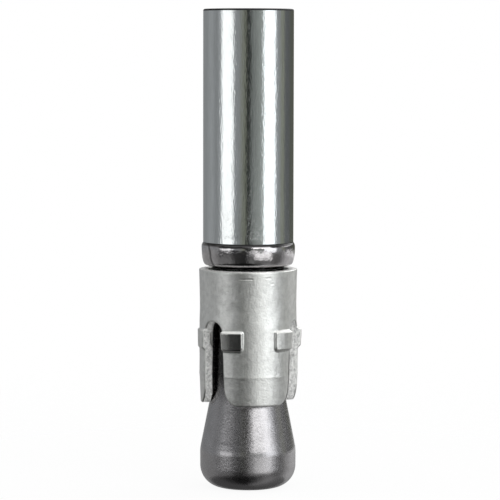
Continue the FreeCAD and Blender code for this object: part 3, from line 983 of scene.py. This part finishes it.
def sleeve_grid(levels):
    """Places of the strip's points, in one line for each lobe and level."""
    places = []
    for lobe in range(LOBES):
        for level in levels:
            first = lobe_turns(lobe_half_turn(level, lobe == 0))
            second = lobe_turns(lobe_half_turn(level, lobe == LOBES - 1))
            turns = [-turn for turn in reversed(first)] + second[1:]
            places.append([(lobe, turn, level) for turn in turns])
    return places


def joined_numbers(places):
    """Number the points, so that lobes share theirs where no slot or seam parts them."""
    numbers = {}
    table = []
    for row in places:
        line = []
        for lobe, turn, level in row:
            azimuth = (lobe_azimuth(lobe) + turn) % math.tau
            key = (round(azimuth, 6), round(level / MM, 4))
            line.append(numbers.setdefault(key, len(numbers)))
        table.append(line)
    return table, len(numbers)


def sheet_faces(table, rows):
    """Faces of the strip's outer side, without those that the arches leave no area."""
    faces = []
    for lobe in range(LOBES):
        for i in range(rows - 1):
            low, high = table[lobe * rows + i], table[lobe * rows + i + 1]
            for j in range(len(low) - 1):
                corners = (low[j], low[j + 1], high[j + 1], high[j])
                face = tuple(dict.fromkeys(corners))
                if len(face) > 2:
                    faces.append(face)
    return faces


def pad_faces(places, table, outer):
    """Find the faces on top of each lobe's first pad, which the punch has burnished."""
    raised = set()
    for row, line in zip(places, table):
        for (_, turn, level), number in zip(row, line):
            if turn < 0.0 and pad_rise(turn, level, 0.0) > BURNISHED_RISE:
                raised.add(number)
    return {face for face in outer if raised.issuperset(face)}


def open_edges_of(faces):
    """Edges that only one face has, in the faces' own order and direction."""
    seen = dict.fromkeys(edge for face in faces for edge in zip(face, face[1:] + face[:1]))
    return [(a, b) for a, b in seen if (b, a) not in seen]


def add_cut_edges(points, faces, outer, count):
    """Close the strip's edges with narrow rows of rough, sheared metal."""
    chains = {}
    noise.seed_set(CUT_SEED)

    def chain(number):
        """Points across the sheet's thickness at one place on its edge."""
        if number not in chains:
            start, finish = points[number], points[number + count]
            line = [number]
            for step in range(1, CUT_STEPS):
                spot = start.lerp(finish, step / CUT_STEPS)
                spot += noise.noise_vector(spot / CUT_GRAIN) * CUT_ROUGH
                line.append(len(points))
                points.append(spot)
            chains[number] = line + [number + count]
        return chains[number]

    for a, b in open_edges_of(outer):
        first, second = chain(a), chain(b)
        for k in range(CUT_STEPS):
            faces.append((first[k], first[k + 1], second[k + 1], second[k]))


def make_expansion_sleeve(metals):
    """Build both faces of the wrapped strip, then its cut edges, from one grid."""
    levels = sorted(lobe_levels() + upper_levels())
    places = sleeve_grid(levels)
    table, count = joined_numbers(places)
    points = [None] * (2 * count)
    for row, line in zip(places, table):
        for place, number in zip(row, line):
            points[number] = sheet_point(*place, inner=False)
            points[number + count] = sheet_point(*place, inner=True)
    outer = sheet_faces(table, len(levels))
    faces = outer + [tuple(number + count for number in reversed(face)) for face in outer]
    plain, cut, pad = (SLEEVE_FINISHES.index(name) for name in ("sleeve", "cut", "pad"))
    pads = pad_faces(places, table, outer)
    kinds = [pad if face in pads else plain for face in outer] + [plain] * len(outer)
    add_cut_edges(points, faces, outer, count)
    kinds += [cut] * (len(faces) - len(kinds))
    materials = [metals[name] for name in SLEEVE_FINISHES]
    piece = new_piece("expansion_sleeve_finish", points, faces, materials, kinds)
    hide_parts("expansion_sleeve")
    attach(piece, "sleeve")


# Studio


def turn_share(degrees):
    """Share of a turn for a direction, in degrees from the camera towards its right."""
    return (degrees + 180.0) * DEGREE


def azimuth_share(graph):
    """Azimuth round the axis as a share of a turn, 0.5 towards the camera, and the height."""
    split = graph.add("ShaderNodeSeparateXYZ", Vector=graph.place()).outputs
    angle = graph.math("ARCTAN2", split["X"], graph.math("MULTIPLY", split["Y"], -1.0))
    turned = graph.math("SUBTRACT", angle, CAMERA_AZIMUTH)
    share = graph.math("FRACT", graph.math("ADD", graph.math("DIVIDE", turned, math.tau), 0.5))
    return share, split["Z"]


def stops_by_degrees(tones, tint=(1.0, 1.0, 1.0)):
    """Turn (degrees from the camera, tone, own tint if any) into a ramp's stops."""
    return [(turn_share(degrees), grey(tone / TENT_PEAK, *(own or [tint])))
            for degrees, tone, *own in tones]


def band_stops():
    """Tones at the height that the upright tube mirrors, from left to right."""
    green = (0.96, 1.02, 0.98)
    olive = (1.0, 1.04, 0.86)
    return stops_by_degrees([
        (-180, 0.3), (-136, 0.33), (-116, 0.41), (-103, 0.43), (-92, 0.33), (-86, 0.33),
        (-80, 0.42), (-73.5, 0.5), (-36, 0.42), (-22, 0.34),
        (-14, 0.28, olive), (-6, 0.2, olive), (-4, 0.03, green), (3.5, 0.03, green),
        (6, 0.18, green), (16, 0.27, green), (24, 0.32, green), (33, 0.42, green),
        (39, 0.5, green), (41, 2.2), (71, 2.2), (73.5, 0.45), (85, 0.38),
        (95, 0.3, olive), (101, 0.3, olive), (106, 0.17), (121, 0.15),
        (139, 0.12, olive), (180, 0.12, olive),
    ], tint=(0.97, 1.0, 1.03))


def panel_stops():
    """Tones of the tent's panels above and below that band."""
    return stops_by_degrees([
        (-180, 0.42), (-95, 0.42), (-80, 0.3), (-48, 0.26), (-36, 0.06), (-6, 0.03),
        (3, 0.22), (64, 0.26), (78, 0.17), (91, 0.24), (108, 0.92), (130, 1.2), (180, 0.55),
    ])


def ground_stops():
    """Dark tones under the anchor, a little lighter to the right."""
    return stops_by_degrees([
        (-180, 0.1), (-100, 0.12), (-72, 0.06), (-45, 0.01), (10, 0.01), (28, 0.08),
        (60, 0.36), (82, 0.34), (96, 0.2), (180, 0.1),
    ])


def band_light(graph, share, height):
    """Light of the band that the tube mirrors, with the strip light on its left."""
    sides = graph.between(share, turn_share(-72.0), turn_share(-38.0), DEGREE)
    ends = graph.between(height, STRIP_LOW, STRIP_HIGH, STRIP_EDGE, STRIP_FADE)
    strip = graph.math("MULTIPLY", graph.math("MULTIPLY", sides, ends), STRIP_POWER)
    return graph.apply("ADD", graph.ramp(share, band_stops()), strip)


def softbox_light(graph, share, height, lift, lowered, deep):
    """Light of the softbox to the right, whose sides and power change with the height."""
    left = graph.total(turn_share(-3.0), (lowered, 18.0 * DEGREE), (lift, 12.0 * DEGREE))
    right = graph.total(turn_share(59.0), (lift, 3.0 * DEGREE), (deep, 4.0 * DEGREE))
    sides = graph.between(share, left, right, 3.0 * DEGREE)
    ends = graph.between(height, SOFTBOX_LOW, SOFTBOX_HIGH, PANEL_EDGE)
    power = graph.total(SOFTBOX_POWER, (lift, 0.6), (lowered, 0.4), (deep, -0.33))
    return graph.math("MULTIPLY", graph.math("MULTIPLY", sides, ends), power)


def panel_gain(graph, share, height, lift, lowered):
    """Strength of the panels: more behind the anchor and high up, less on the shaded left."""
    sides = graph.between(share, turn_share(-80.0), turn_share(-34.0), 4.0 * DEGREE)
    ends = graph.between(height, SHADED_LOW, TENT_HIGH, PANEL_EDGE)
    shaded = graph.math("MULTIPLY", sides, ends)
    behind = graph.rise(share, turn_share(82.0), 20.0 * DEGREE)
    rear = graph.total(0.0, (lift, 0.8), (lowered, -0.3))
    return graph.total(1.0, (rear, behind), (shaded, -SHADED_SHARE), (lowered, -0.1))


def panel_light(graph, share, height):
    """Light of the panels and the softbox, with a plain crown at the front and top."""
    lift = graph.rise(height, 0.0, LIFT_HEIGHT)
    lowered = graph.fall(height, LOWERED_FROM, LOWERED_FADE)
    deep = graph.fall(height, DEEP_FROM, DEEP_FADE)
    gain = panel_gain(graph, share, height, lift, lowered)
    softbox = softbox_light(graph, share, height, lift, lowered, deep)
    light = graph.apply("MULTIPLY", graph.ramp(share, panel_stops()), gain)
    light = graph.apply("ADD", light, softbox)
    front = graph.between(share, turn_share(-120.0), turn_share(120.0), 20.0 * DEGREE)
    crown = graph.math("MULTIPLY", front, graph.rise(height, CROWN_LEVEL, PANEL_EDGE))
    return graph.mix(crown, light, grey(CROWN_TONE))


def tent_material():
    """Make the tent's glow: the band, the panels above and below it, and the dark ground."""
    material, graph = blank_material("studio_tent")
    share, height = azimuth_share(graph)
    band_share = graph.between(height, BAND_LOW, BAND_HIGH, BAND_EDGE, BAND_FADE)
    walls = graph.mix(band_share, panel_light(graph, share, height),
                      band_light(graph, share, height))
    above_ground = graph.rise(height, TENT_LOW + 0.01, 0.02)
    light = graph.mix(above_ground, graph.ramp(share, ground_stops()), walls)
    glow = graph.add("ShaderNodeEmission", Color=light, Strength=TENT_PEAK)
    graph.add("ShaderNodeOutputMaterial", Surface=glow.outputs[0])
    return material


def floor_material():
    """Make a white cloth that takes the anchor's shadow and fades out towards its rim."""
    material, graph = blank_material("pale_floor")
    length = graph.add("ShaderNodeVectorMath", {"operation": "LENGTH"}, Vector=graph.place())
    out = graph.math("DIVIDE", length.outputs["Value"], FLOOR_RADIUS)
    fade = graph.ramp(out, [(FLOOR_FADE_START, grey(0.0)), (FLOOR_FADE_END, grey(1.0))], "EASE")
    matt = graph.add("ShaderNodeBsdfDiffuse", Color=grey(0.9)).outputs[0]
    lit = graph.add("ShaderNodeEmission", Color=grey(1.0), Strength=1.0).outputs[0]
    seen = graph.add("ShaderNodeLightPath").outputs["Is Camera Ray"]
    cloth = graph.mix_shaders(graph.math("MULTIPLY", seen, FLOOR_GLOW), matt, lit)
    clear = graph.add("ShaderNodeBsdfTransparent").outputs[0]
    graph.add("ShaderNodeOutputMaterial", Surface=graph.mix_shaders(fade, cloth, clear))
    return material


def stage_object(name, skin, material):
    """Make an object of the studio from a bmesh and its material."""
    mesh = bpy.data.meshes.new(name)
    skin.to_mesh(mesh)
    skin.free()
    mesh.materials.append(material)
    return new_object(name, mesh)


def make_tent():
    """Hang the tent whose panels and softbox the metal reflects."""
    skin = bmesh.new()
    bmesh.ops.create_cone(skin, cap_ends=False, segments=96, radius1=TENT_RADIUS,
                          radius2=TENT_RADIUS, depth=TENT_HIGH - TENT_LOW)
    bmesh.ops.translate(skin, verts=skin.verts, vec=(0, 0, (TENT_HIGH + TENT_LOW) / 2))
    foot = [edge for edge in skin.edges if edge.is_boundary
            and all(v.co.z < 0 for v in edge.verts)]
    bmesh.ops.contextual_create(skin, geom=foot)
    tent = stage_object("studio_tent", skin, tent_material())
    tent.visible_camera = False
    tent.visible_shadow = False


def make_floor():
    """Lay a pale round floor that fades into the white background."""
    skin = bmesh.new()
    bmesh.ops.create_circle(skin, cap_ends=True, segments=96, radius=FLOOR_RADIUS)
    bmesh.ops.translate(skin, verts=skin.verts, vec=(0, 0, -FLOOR_DROP))
    floor = stage_object("pale_floor", skin, floor_material())
    floor.visible_glossy = False


def make_world():
    """Surround the studio with plain white."""
    world = bpy.data.worlds.new("white_room")
    world.use_nodes = True
    background = world.node_tree.nodes["Background"]
    background.inputs["Color"].default_value = grey(1.0)
    background.inputs["Strength"].default_value = 1.0
    bpy.context.scene.world = world
    bpy.context.scene.view_settings.view_transform = "Standard"


def main():
    """Set up the studio and build both finished pieces."""
    make_camera()
    make_world()
    make_tent()
    make_floor()
    metals = make_metals(zinc_skin_group())
    make_anchor_body(metals)
    make_expansion_sleeve(metals)


main()
